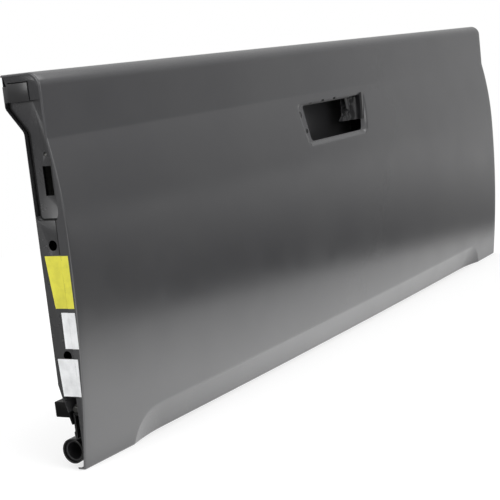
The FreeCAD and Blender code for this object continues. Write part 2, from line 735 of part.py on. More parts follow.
def make_stop():
    """Rubber stop on its own base plate, which lies on the sloping corner of the panel."""
    body = add_body("left_rubber_stop")
    side = add_sketch(body, "YZ_Plane", "stop_side")
    low = "(Sizes.stop_centre - Sizes.stop_height / 2)"
    high = "(Sizes.stop_centre + Sizes.stop_height / 2)"
    back = f"{PANEL_BACK} + Sizes.stop_proud"
    base = "Sizes.stop_base"
    outline(side, [
        (slope_place("Sizes.slope_foot"), "Sizes.slope_foot"), (f"{slope_place('Sizes.slope_foot')} + {base}", "Sizes.slope_foot"),
        (f"{slope_place(low)} + {base}", low), (back, low), (back, high), (f"{slope_place(high)} + {base}", high),
        (f"{slope_place('Sizes.slope_top - Sizes.stop_base')} + {base} / 2", "Sizes.slope_top - Sizes.stop_base"),
        (slope_place("Sizes.slope_top - Sizes.stop_base"), "Sizes.slope_top - Sizes.stop_base"),
    ])
    block = extrude(body, "Pad", side, "stop_block", "Sizes.stop_width")
    far = size("depth") / 2 - size("panel_set_in") + size("stop_proud")
    round_edges(body, block, "stop_rounding", "Sizes.stop_radius",
                lambda edge: abs(edge.CenterOfMass.y - far) < size("stop_radius") / 10 and edge.Length > size("stop_width") / 2)
    place(body, f"{END} + Sizes.stop_set_in", "0", "0")
    both_ends(body, "rubber_stop")


def make_latch():
    """U-shaped latch housing behind the slot, open where the striker comes in."""
    body = add_body("left_latch")
    section = add_sketch(body, "XZ_Plane", "latch_section")
    half = "Sizes.latch_height / 2"
    throat = "(Sizes.slot_height / 2 + Sizes.throat_gap)"
    floor = "Sizes.latch_width - Sizes.latch_gauge"
    outline(section, [
        ("0", f"-{half}"), ("Sizes.latch_width", f"-{half}"), ("Sizes.latch_width", half), ("0", half),
        ("0", throat), (floor, throat), (floor, f"-{throat}"), ("0", f"-{throat}"),
    ])
    extrude(body, "Pad", section, "latch_housing", "Sizes.latch_depth", True)
    place(body, f"{END} + Sizes.recess_depth + Sizes.panel_gauge",
          f"{APEX} + Sizes.slot_reach - Sizes.slot_width / 2", "Sizes.height - Sizes.slot_drop")
    both_ends(body, "latch")


def make_tab():
    """Folded tab that closes the end of the top rail."""
    body = add_body("left_rail_tab")
    face = add_sketch(body, "YZ_Plane", "tab_face")
    rectangle(face, "-Sizes.tab_width", "0", "-Sizes.tab_height", "0")
    extrude(body, "Pad", face, "tab_plate", "Sizes.skin_gauge")
    place(body, END, f"{RAIL_BACK} - Sizes.tab_margin", "Sizes.height - Sizes.tab_drop")
    both_ends(body, "rail_tab")


def make_cover():
    """Plate that closes the access hole from the bed side."""
    body = add_body("access_cover")
    face = add_sketch(body, "XZ_Plane", "cover_face")
    rectangle(face, "-Sizes.cover_width / 2", "Sizes.cover_width / 2",
              "-Sizes.cover_height / 2", "Sizes.cover_height / 2")
    plate = extrude(body, "Pad", face, "cover_plate", "Sizes.cover_gauge", True)
    round_edges(body, plate, "cover_corners", "Sizes.cover_corner",
                lambda edge: edge.Length < 2 * size("cover_gauge"))
    place(body, "0", PANEL_BACK, "Sizes.height - Sizes.crease_drop - Sizes.pocket_drop - Sizes.pocket_height / 2")
    nodes.append(body)


def make_rail():
    """Angle inside the top rail, against its top and its back."""
    body = add_body("rail_channel")
    section = add_sketch(body, "YZ_Plane", "rail_section")
    back = f"{RAIL_BACK} - Sizes.panel_gauge"
    roof = "Sizes.height - Sizes.skin_gauge"
    leg, gauge = "Sizes.rail_flange", "Sizes.rail_gauge"
    outline(section, [
        (back, roof), (back, f"{roof} - {leg}"), (f"{back} - {gauge}", f"{roof} - {leg}"),
        (f"{back} - {gauge}", f"{roof} - {gauge}"), (f"{back} - {leg}", f"{roof} - {gauge}"), (f"{back} - {leg}", roof),
    ])
    extrude(body, "Pad", section, "rail_angle", "Sizes.width - 2 * Sizes.rail_margin")
    place(body, f"{END} + Sizes.rail_margin", "0", "0")
    nodes.append(body)


make_cup()
make_bushing()
make_hinge_bracket()
make_stop()
make_latch()
make_tab()
make_cover()
make_rail()


# Checks and export

doc.recompute()
faults = [o.Name for o in doc.Objects if {"Invalid", "Error"} & set(o.State)]
for node in nodes:
    if node.Shape.isNull() or not node.Shape.isValid() or not node.Shape.Solids:
        faults.append(node.Label)
if faults:
    raise RuntimeError("unsound: " + ", ".join(faults))

os.makedirs("parts", exist_ok=True)
for node in nodes:
    node.Shape.exportStep(f"parts/{node.Label}.step")
    print(f"{node.Label}: {len(node.Shape.Solids)} solid, {node.Shape.Volume:.0f} mm3")
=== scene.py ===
"""Looks of a pickup truck tailgate in dark grey primer, dressed on its packed construction.

Sizes in the classes are millimetres, as on a drawing. Meshes are scaled to metres when they are
finished. X runs along the width, the outer face looks towards -Y and the bed side towards +Y.
"""

import json
import logging
import math
from dataclasses import dataclass, field
from enum import Enum
from typing import Callable, Iterable, Optional, Sequence

import bmesh
import bpy
from mathutils import Matrix, Vector, noise


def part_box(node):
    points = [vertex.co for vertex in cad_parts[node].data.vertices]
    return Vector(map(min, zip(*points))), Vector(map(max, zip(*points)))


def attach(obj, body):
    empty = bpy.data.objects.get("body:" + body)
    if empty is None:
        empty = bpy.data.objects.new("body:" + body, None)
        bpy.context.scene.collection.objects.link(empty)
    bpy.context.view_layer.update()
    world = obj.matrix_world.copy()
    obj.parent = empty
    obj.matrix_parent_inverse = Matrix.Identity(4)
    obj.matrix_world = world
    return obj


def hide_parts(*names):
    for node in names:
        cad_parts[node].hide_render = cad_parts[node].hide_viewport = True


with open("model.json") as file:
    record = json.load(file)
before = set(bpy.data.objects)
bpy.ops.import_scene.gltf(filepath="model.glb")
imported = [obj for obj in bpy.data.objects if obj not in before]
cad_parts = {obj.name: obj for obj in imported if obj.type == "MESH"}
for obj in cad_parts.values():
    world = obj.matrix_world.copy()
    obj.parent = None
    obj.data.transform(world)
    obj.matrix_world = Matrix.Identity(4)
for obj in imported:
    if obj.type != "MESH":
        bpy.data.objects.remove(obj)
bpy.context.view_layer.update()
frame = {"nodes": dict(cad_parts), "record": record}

MM = 0.001
BODY = "root"
WHITE = (1.0, 1.0, 1.0, 1.0)
log = logging.getLogger("tailgate")

Pair = tuple[float, float]
Triple = tuple[float, float, float]
Range = tuple[float, ...]
Socket = bpy.types.NodeSocket
Material = bpy.types.Material
Piece = bpy.types.Object
Mesh = bmesh.types.BMesh


class Side(Enum):
    """An end of the tailgate."""

    LEFT = -1
    RIGHT = 1

    @property
    def label(self) -> str:
        """The word that begins the names of this side's pieces."""
        return self.name.lower()


def node_box(node: str) -> tuple[Vector, Vector]:
    """Gives the box of a node of the construction.

    Args:
        node: name of the node.

    Returns:
        Its lowest and highest corners in millimetres.
    """
    low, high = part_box(node)
    return low / MM, high / MM


def spread(start: float, end: float, step: float) -> list[float]:
    """Divides a span evenly.

    Args:
        start: first value.
        end: last value.
        step: largest distance between neighbours.

    Returns:
        The values from start to end.
    """
    count = max(1, math.ceil(abs(end - start) / step - 1e-6))
    return [start + (end - start) * i / count for i in range(count + 1)]


def chain(spans: Iterable[Triple]) -> list[float]:
    """Joins evenly divided spans that follow one another into one rising list.

    Args:
        spans: start, end and step of each span.

    Returns:
        The values without repeats.
    """
    values: list[float] = []
    for start, end, step in spans:
        values += [v for v in spread(start, end, step) if not values or v > values[-1] + 1e-6]
    return values


def both_ways(half: list[float]) -> list[float]:
    """Puts the mirrored values before a rising list that starts at 0."""
    return [-value for value in reversed(half[1:])] + half


def soft_step(value: float) -> float:
    """Rises smoothly from 0 to 1 while the value goes from 0 to 1."""
    clipped = min(1.0, max(0.0, value))
    return clipped * clipped * (3.0 - 2.0 * clipped)


def soft_ramp(value: float, rounding: float) -> float:
    """Gives 0 below zero and the value above it, with a rounded bend.

    Args:
        value: input.
        rounding: half the length of the bend.

    Returns:
        The eased value.
    """
    if value <= -rounding:
        return 0.0
    if value >= rounding:
        return value
    return (value + rounding) ** 2 / (4.0 * rounding)


def inside_distance(x: float, z: float, half_x: float, half_z: float, corner: float) -> float:
    """Measures how far a point lies inside a rectangle with rounded corners about the origin.

    Args:
        x: place across.
        z: place up.
        half_x: half the width.
        half_z: half the height.
        corner: corner radius.

    Returns:
        The distance to the outline, negative outside.
    """
    dx, dz = abs(x) - (half_x - corner), abs(z) - (half_z - corner)
    outside = math.hypot(max(dx, 0.0), max(dz, 0.0))
    return corner - outside - min(max(dx, dz), 0.0)


# Finishes

class Tree:
    """A node tree under construction, with short calls for the nodes that finishes and studio share."""

    def __init__(self, tree: bpy.types.NodeTree) -> None:
        """Empties a tree to start it afresh."""
        self.tree = tree
        self.tree.nodes.clear()

    def put(self, target: Socket, value: object) -> None:
        """Joins an input to a socket, or sets it to a value."""
        if isinstance(value, Socket):
            self.tree.links.new(value, target)
        else:
            target.default_value = value

    def fill(self, node: bpy.types.Node, values: dict[str, object]) -> None:
        """Fills inputs of a node, their names written with underscores for spaces."""
        for key, value in values.items():
            self.put(node.inputs[key.replace("_", " ")], value)

    def add(self, kind: str, **values: object) -> bpy.types.Node:
        """Adds a node.

        Args:
            kind: type of the node.
            **values: sockets to join or values to set, by input name with underscores for spaces.

        Returns:
            The new node.
        """
        node = self.tree.nodes.new(kind)
        self.fill(node, values)
        return node

    def numbered(self, kind: str, values: dict[int, object], **settings: str) -> bpy.types.Node:
        """Adds a node whose inputs go by their number, as several share a name.

        Args:
            kind: type of the node.
            values: sockets to join or values to set, by the number of the input.
            **settings: properties of the node itself.

        Returns:
            The new node.
        """
        node = self.tree.nodes.new(kind)
        for key, setting in settings.items():
            setattr(node, key, setting)
        for number, value in values.items():
            self.put(node.inputs[number], value)
        return node

    def ramp(self, source: Socket, low: float, high: float, start: float = 0.0, end: float = 1.0,
             easing: str = "LINEAR") -> Socket:
        """Maps a range of one value to a range of another, clamped.

        Args:
            source: socket to read.
            low: input that gives start.
            high: input that gives end.
            start: first output.
            end: last output.
            easing: LINEAR, or SMOOTHSTEP for ends that ease in.

        Returns:
            The mapped output.
        """
        values = dict(enumerate((source, low, high, start, end)))
        return self.numbered("ShaderNodeMapRange", values, interpolation_type=easing).outputs["Result"]

    def choose(self, factor: Socket, first: object, second: object) -> Socket:
        """Mixes two grey values or sockets by a factor."""
        return self.numbered("ShaderNodeMix", {0: factor, 2: first, 3: second}).outputs[0]

    def join(self, factor: Socket, first: bpy.types.Node, second: bpy.types.Node) -> bpy.types.Node:
        """Mixes two shaders by a factor."""
        return self.numbered("ShaderNodeMixShader", {0: factor, 1: first.outputs[0], 2: second.outputs[0]})


class Shader(Tree):
    """The node tree of one material with its own shader."""

    def __init__(self, name: str) -> None:
        """Starts an empty material with its shader and output."""
        self.material = bpy.data.materials.new(name)
        self.material.use_nodes = True
        super().__init__(self.material.node_tree)
        self.shader = self.add("ShaderNodeBsdfPrincipled")
        self.add("ShaderNodeOutputMaterial", Surface=self.shader.outputs["BSDF"])
        self.place = self.add("ShaderNodeTexCoord").outputs["Object"]

    def finished(self, **values: object) -> Material:
        """Fills the shader's inputs, their names written with underscores, and gives the material."""
        self.fill(self.shader, values)
        return self.material

    def grain(self, scale: float, detail: float = 4.0, roughness: float = 0.5) -> Socket:
        """Adds noise on the object's own coordinates and gives its grey output."""
        return self.add("ShaderNodeTexNoise", Scale=scale, Detail=detail, Roughness=roughness,
                        Vector=self.place).outputs["Fac"]

    def blend(self, factor: Socket, first: object, second: Triple) -> Socket:
        """Mixes two colours.

        Args:
            factor: 0 gives the first colour, 1 the second.
            first: red, green and blue, or the socket of a colour.
            second: red, green and blue.

        Returns:
            The colour output.
        """
        start = first if isinstance(first, Socket) else (*first, 1.0)
        values = {0: factor, 6: start, 7: (*second, 1.0)}
        return self.numbered("ShaderNodeMix", values, data_type="RGBA").outputs[2]

    def bump(self, height: Socket, distance: float, strength: float,
             after: Optional[Socket] = None) -> Socket:
        """Raises the surface by a height.

        Args:
            height: grey socket.
            distance: metres that white stands above black.
            strength: share of the effect.
            after: normal of an earlier bump.

        Returns:
            The bent normal.
        """
        node = self.add("ShaderNodeBump", Distance=distance, Strength=strength, Height=height)
        if after is not None:
            self.put(node.inputs["Normal"], after)
        return node.outputs["Normal"]


@dataclass(frozen=True)
class Primer:
    """Electro-coated primer on sheet steel: satin, a little uneven, with orange peel and dust."""

    name: str
    colour: Triple = (0.051, 0.051, 0.054)
    dust: Triple = (0.085, 0.085, 0.084)
    roughness: float = 0.2
    dustiness: float = 0.3

    def material(self) -> Material:
        """Builds the material."""
        shader = Shader(self.name)
        cloud = shader.grain(3.2, 5.0, 0.55)
        tone = shader.blend(shader.ramp(cloud, 0.4, 0.75, end=self.dustiness), self.colour, self.dust)
        specks = shader.ramp(shader.grain(900.0, 2.0, 0.6), 0.68, 0.74, end=0.25)
        haze = shader.grain(14.0, 6.0, 0.6)
        peel = shader.bump(shader.grain(420.0, 2.0), 0.00003, 0.5)
        return shader.finished(
            Base_Color=shader.blend(specks, tone, self.dust),
            Roughness=shader.ramp(haze, 0.35, 0.7, self.roughness - 0.02, self.roughness + 0.06),
            Specular_IOR_Level=0.7,
            Normal=shader.bump(shader.grain(9.0, 2.0, 0.4), 0.0006, 0.25, peel),
        )


@dataclass(frozen=True)
class PlatedSteel:
    """Zinc-plated steel of bolts, latch parts and clips."""

    name: str
    colour: Triple = (0.50, 0.49, 0.46)
    roughness: float = 0.36

    def material(self) -> Material:
        """Builds the material."""
        shader = Shader(self.name)
        cloud = shader.grain(60.0, 5.0, 0.6)
        dull = tuple(0.62 * c for c in self.colour)
        return shader.finished(
            Base_Color=shader.blend(shader.ramp(cloud, 0.35, 0.7), self.colour, dull),
            Roughness=shader.ramp(cloud, 0.3, 0.7, self.roughness - 0.08, self.roughness + 0.14),
            Normal=shader.bump(shader.grain(700.0, 3.0), 0.00004, 0.6),
            Metallic=0.9,
        )


@dataclass(frozen=True)
class Moulded:
    """Black plastic or rubber from a mould, with a fine grain."""

    name: str
    colour: Triple = (0.012, 0.012, 0.013)
    roughness: float = 0.5
    grain: float = 1500.0
    ior: float = 1.45

    def material(self) -> Material:
        """Builds the material."""
        shader = Shader(self.name)
        cloud = shader.grain(40.0, 4.0, 0.6)
        worn = tuple(2.4 * c + 0.01 for c in self.colour)
        return shader.finished(
            Base_Color=shader.blend(shader.ramp(cloud, 0.45, 0.8, end=0.6), self.colour, worn),
            Roughness=shader.ramp(cloud, 0.3, 0.7, self.roughness - 0.06, self.roughness + 0.1),
            IOR=self.ior,
            Normal=shader.bump(shader.grain(self.grain, 2.0), 0.00005, 0.5),
        )


@dataclass(frozen=True)
class Paper:
    """Printed paper of a blank sticker, a little soiled."""

    name: str
    colour: Triple

    def material(self) -> Material:
        """Builds the material."""
        shader = Shader(self.name)
        cloud = shader.grain(45.0, 5.0, 0.65)
        soil = tuple(0.62 * c for c in self.colour)
        return shader.finished(
            Base_Color=shader.blend(shader.ramp(cloud, 0.42, 0.75, end=0.6), self.colour, soil),
            Roughness=0.55,
            Normal=shader.bump(shader.grain(90.0, 3.0), 0.0003, 0.4),
        )


# Form of the tailgate

@dataclass(frozen=True)
class TailgateForm:
    """The form that every pressing follows, in millimetres."""

    half_width: float
    top: float
    apex: float
    back: float
    face_crown: float = 10.0
    apex_height: float = 325.0
    lower_sweep: float = 24.0
    upper_sweep: float = 14.0
    crease_drop: float = 90.0
    roll_radius: float = 20.0
    pocket_drop: float = 14.0
    pocket_height: float = 78.0

    @classmethod
    def from_frame(cls) -> "TailgateForm":
        """Reads the overall sizes from the construction."""
        skin_low, skin_high = node_box("outer_skin")
        panel_high = node_box("inner_panel")[1]
        return cls(half_width=skin_high.x, top=skin_high.z, apex=skin_low.y, back=panel_high.y)

    @property
    def crease(self) -> float:
        """Height of the bend under the upright band."""
        return self.top - self.crease_drop

    @property
    def roll_start(self) -> float:
        """Height where the roll begins."""
        return self.top - self.roll_radius

    @property
    def roll_length(self) -> float:
        """Developed length of the roll."""
        return self.roll_radius * math.pi / 2

    @property
    def pocket_middle(self) -> float:
        """Height of the middle of the handle pocket."""
        return self.crease - self.pocket_drop - self.pocket_height / 2

    def face_offset(self, z: float) -> float:
        """Gives how far the outer face lies behind its apex at a height, in the middle."""
        rise, sweep = self.apex_height, self.lower_sweep
        if z > self.apex_height:
            rise, sweep = self.crease - self.apex_height, self.upper_sweep
        radius = (rise**2 + sweep**2) / (2 * sweep)
        reach = min(abs(z - self.apex_height), rise)
        return radius - math.sqrt(radius**2 - reach**2)

    def crown_offset(self, x: float) -> float:
        """Gives how far the outer face falls back from its middle at a place along the width."""
        radius = self.half_width**2 / (2 * self.face_crown) + self.face_crown / 2
        return radius - math.sqrt(radius**2 - min(abs(x), self.half_width) ** 2)


def add_object(name: str, data: bpy.types.ID) -> Piece:
    """Adds an object to the scene."""
    added = bpy.data.objects.new(name, data)
    bpy.context.scene.collection.objects.link(added)
    return added


def new_piece(name: str, bm: Mesh, finish: Material, slot: str,
              smooth_below: float = 32.0) -> Piece:
    """Turns a mesh in millimetres into a finished piece of the scene.

    Args:
        name: name of the piece.
        bm: its mesh, which is freed.
        finish: its material.
        slot: the record's material slot of its finish; not used.
        smooth_below: degrees up to which an edge is shaded smooth.

    Returns:
        The new object, riding on the tailgate.
    """
    bmesh.ops.scale(bm, vec=(MM, MM, MM), verts=bm.verts)
    mesh = bpy.data.meshes.new(name)
    bm.to_mesh(mesh)
    bm.free()
    mesh.materials.append(finish)
    mesh.polygons.foreach_set("use_smooth", [True] * len(mesh.polygons))
    mesh.set_sharp_from_angle(angle=math.radians(smooth_below))
    piece = add_object(name, mesh)
    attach(piece, BODY)
    return piece


def apply_modifiers(piece: Piece) -> None:
    """Bakes the modifiers of a piece into its mesh."""
    graph = bpy.context.evaluated_depsgraph_get()
    finished = bpy.data.meshes.new_from_object(piece.evaluated_get(graph))
    piece.modifiers.clear()
    old, piece.data = piece.data, finished
    finished.name = piece.name
    bpy.data.meshes.remove(old)


def mapped_sheet(across: Sequence[float], along: Sequence[float],
                 place: Callable[[float, float], Vector]) -> Mesh:
    """Shapes a flat grid into a pressed sheet.

    Args:
        across: developed places along the width.
        along: developed places along the section.
        place: gives the point of the sheet for one of each.

    Returns:
        The open sheet.
    """
    bm = bmesh.new()
    bmesh.ops.create_grid(bm, x_segments=len(across) - 1, y_segments=len(along) - 1, size=1.0)
    for vert in bm.verts:
        column = round((vert.co.x + 1.0) / 2.0 * (len(across) - 1))
        row = round((vert.co.y + 1.0) / 2.0 * (len(along) - 1))
        vert.co = place(across[column], along[row])
    return bm


def face_towards(bm: Mesh, way: Triple) -> None:
    """Makes the faces of an open sheet look, on the whole, in one direction."""
    bmesh.ops.recalc_face_normals(bm, faces=bm.faces)
    if sum(f.normal.dot(Vector(way)) * f.calc_area() for f in bm.faces) < 0:
        bmesh.ops.reverse_faces(bm, faces=bm.faces)


def move(bm: Mesh, verts: Sequence[bmesh.types.BMVert], by: Sequence[float],
         turn: Optional[Matrix] = None) -> None:
    """Turns vertices about the origin where asked, and shifts them."""
    if turn is not None:
        bmesh.ops.rotate(bm, verts=verts, matrix=turn)
    bmesh.ops.translate(bm, verts=verts, vec=by)


@dataclass(frozen=True)
class SoftCopy:
    """A node of the construction whose sharp edges are rounded a little, as pressed or moulded."""

    node: str
    slot: str
    finish: Material
    radius: float = 0.4
    segments: int = 2
    beyond: Optional[tuple[Side, float]] = None

    def build(self) -> Piece:
        """Builds the copy, which stands for the node.

        Returns:
            The new piece; with beyond set, only what lies further out on that side.
        """
        source = frame["nodes"][self.node]
        bm = bmesh.new()
        bm.from_mesh(source.data)
        bm.transform(source.matrix_world)
        bmesh.ops.scale(bm, vec=(1 / MM, 1 / MM, 1 / MM), verts=bm.verts)
        bmesh.ops.remove_doubles(bm, verts=bm.verts, dist=0.01)
        name = f"{self.node}_dressed"
        if self.beyond:
            side, reach = self.beyond
            bmesh.ops.bisect_plane(bm, geom=[*bm.verts, *bm.edges, *bm.faces], clear_inner=True,
                                   plane_co=(side.value * reach, 0, 0), plane_no=(side.value, 0, 0))
            name = f"{side.label}_{name}"
        bmesh.ops.dissolve_limit(bm, angle_limit=math.radians(0.5), verts=bm.verts, edges=bm.edges)
        sharp = [e for e in bm.edges if e.is_manifold and e.calc_face_angle(0.0) > math.radians(28.0)]
        bmesh.ops.bevel(bm, geom=sharp, offset=self.radius, offset_type="OFFSET", segments=self.segments,
                        profile=0.5, affect="EDGES", material=-1, clamp_overlap=True)
        piece = new_piece(name, bm, self.finish, self.slot, 40.0)
        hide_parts(self.node)
        log.info("%s: %d faces", name, len(piece.data.polygons))
        return piece


# Forms that several pieces share

def rounded_path(corners: Sequence[Triple], step: float) -> list[Vector]:
    """Follows straight lines from corner to corner, each corner rounded with its own radius.

    Args:
        corners: two coordinates and a radius for each; the first and last stay sharp.
        step: largest distance between neighbouring points.

    Returns:
        The points of the line, in two coordinates.
    """
    marks: list[Vector] = []
    for index, (across, up, radius) in enumerate(corners):
        corner = Vector((across, up))
        if radius == 0.0:
            marks.append(corner)
            continue
        before = (Vector(corners[index - 1][:2]) - corner).normalized()
        after = (Vector(corners[index + 1][:2]) - corner).normalized()
        half = before.angle(after) / 2
        centre = corner + (before + after).normalized() * radius / math.sin(half)
        spoke = corner + before * radius / math.tan(half) - centre
        turn = math.copysign(math.pi - 2 * half, before.cross(after))
        count = max(3, math.ceil(abs(turn) / math.radians(9.0)))
        marks += [centre + Matrix.Rotation(-turn * k / count, 2) @ spoke for k in range(count + 1)]
    line = [marks[0]]
    for start, end in zip(marks, marks[1:]):
        count = max(1, math.ceil((end - start).length / step))
        line += [start.lerp(end, k / count) for k in range(1, count + 1)]
    return line


def lathed(line: Sequence[Vector], closed: bool, steps: int = 72) -> Mesh:
    """Spins a line of axial place and radius about the X axis.

    Args:
        line: points of the line.
        closed: whether the last point joins the first.
        steps: faces round the turn.

    Returns:
        The turned mesh.
    """
    bm = bmesh.new()
    verts = [bm.verts.new((point.x, 0.0, point.y)) for point in line]
    pairs = list(zip(verts, verts[1:])) + ([(verts[-1], verts[0])] if closed else [])
    edges = [bm.edges.new(pair) for pair in pairs]
    bmesh.ops.spin(bm, geom=[*verts, *edges], axis=(1, 0, 0), cent=(0, 0, 0), angle=2 * math.pi,
                   steps=steps, use_merge=True)
    bmesh.ops.remove_doubles(bm, verts=bm.verts, dist=0.001)
    bmesh.ops.recalc_face_normals(bm, faces=bm.faces)
    return bm


def rounded_box(width: float, depth: float, height: float, corner: float) -> Mesh:
    """Makes a block about the origin whose corners, seen along Y, are rounded."""
    bm = bmesh.new()
    made = bmesh.ops.create_cube(bm, size=1.0)
    bmesh.ops.scale(bm, vec=(width, depth, height), verts=made["verts"])
    corners = [e for e in bm.edges if abs((e.verts[0].co - e.verts[1].co).normalized().y) > 0.9]
    bmesh.ops.bevel(bm, geom=corners, offset=corner, offset_type="OFFSET", segments=8, profile=0.5,
                    affect="EDGES", material=-1)
    return bm


def to_side(bm: Mesh, side: Side) -> Mesh:
    """Keeps a mesh made for the left end, or mirrors it to the right."""
    if side is Side.RIGHT:
        bmesh.ops.scale(bm, vec=(-1, 1, 1), verts=bm.verts)
        bmesh.ops.reverse_faces(bm, faces=bm.faces)
    return bm


def pressed_wall(piece: Piece, gauge: float, tools: Sequence[Mesh]) -> None:
    """Gives an open sheet its gauge and cuts its holes.

    Args:
        piece: the sheet, its faces outward.
        gauge: thickness in millimetres, added inward.
        tools: meshes of what is cut away one after another, which are freed.
    """
    wall = piece.modifiers.new("gauge", "SOLIDIFY")
    wall.thickness = gauge * MM
    wall.offset = -1.0
    apply_modifiers(piece)
    for tool in tools:
        cutter = new_piece(f"{piece.name}_cutter", tool, piece.data.materials[0], "primed_steel")
        cut = piece.modifiers.new("holes", "BOOLEAN")
        cut.operation = "DIFFERENCE"
        cut.solver = "EXACT"
        cut.object = cutter
        apply_modifiers(piece)
        bpy.data.objects.remove(cutter)
    piece.data.set_sharp_from_angle(angle=math.radians(32.0))


@dataclass(frozen=True)
class HexBolt:
    """Hexagon head on a round flange, with a shank behind it."""

    flats: float
    height: float
    flange: float
    shank: float = 0.0

    def add(self, bm: Mesh, seat: Vector, out: Vector) -> None:
        """Adds the bolt to a mesh.

        Args:
            bm: mesh to extend.
            seat: middle of the face that the flange lies on.
            out: direction in which the head looks.
        """
        turn = Vector((0, 0, 1)).rotation_difference(out).to_matrix()
        plate = self.height / 4
        hexagon = self.flats / math.sqrt(3.0)
        stages = [(self.flange, self.flange * 0.92, plate, plate / 2, 32),
                  (hexagon, hexagon, self.height, plate + self.height / 2 - 0.05, 6),
                  (hexagon * 0.86, hexagon * 0.7, plate / 2, plate + self.height + plate / 4 - 0.1, 24)]
        if self.shank:
            stages.append((self.flats * 0.3, self.flats * 0.3, self.shank, 0.1 - self.shank / 2, 20))
        for low, high, depth, rise, segments in stages:
            made = bmesh.ops.create_cone(bm, cap_ends=True, segments=segments, radius1=low, radius2=high,
                                         depth=depth)
            move(bm, made["verts"], (0, 0, rise))
            move(bm, made["verts"], seat, turn)


# Outer skin

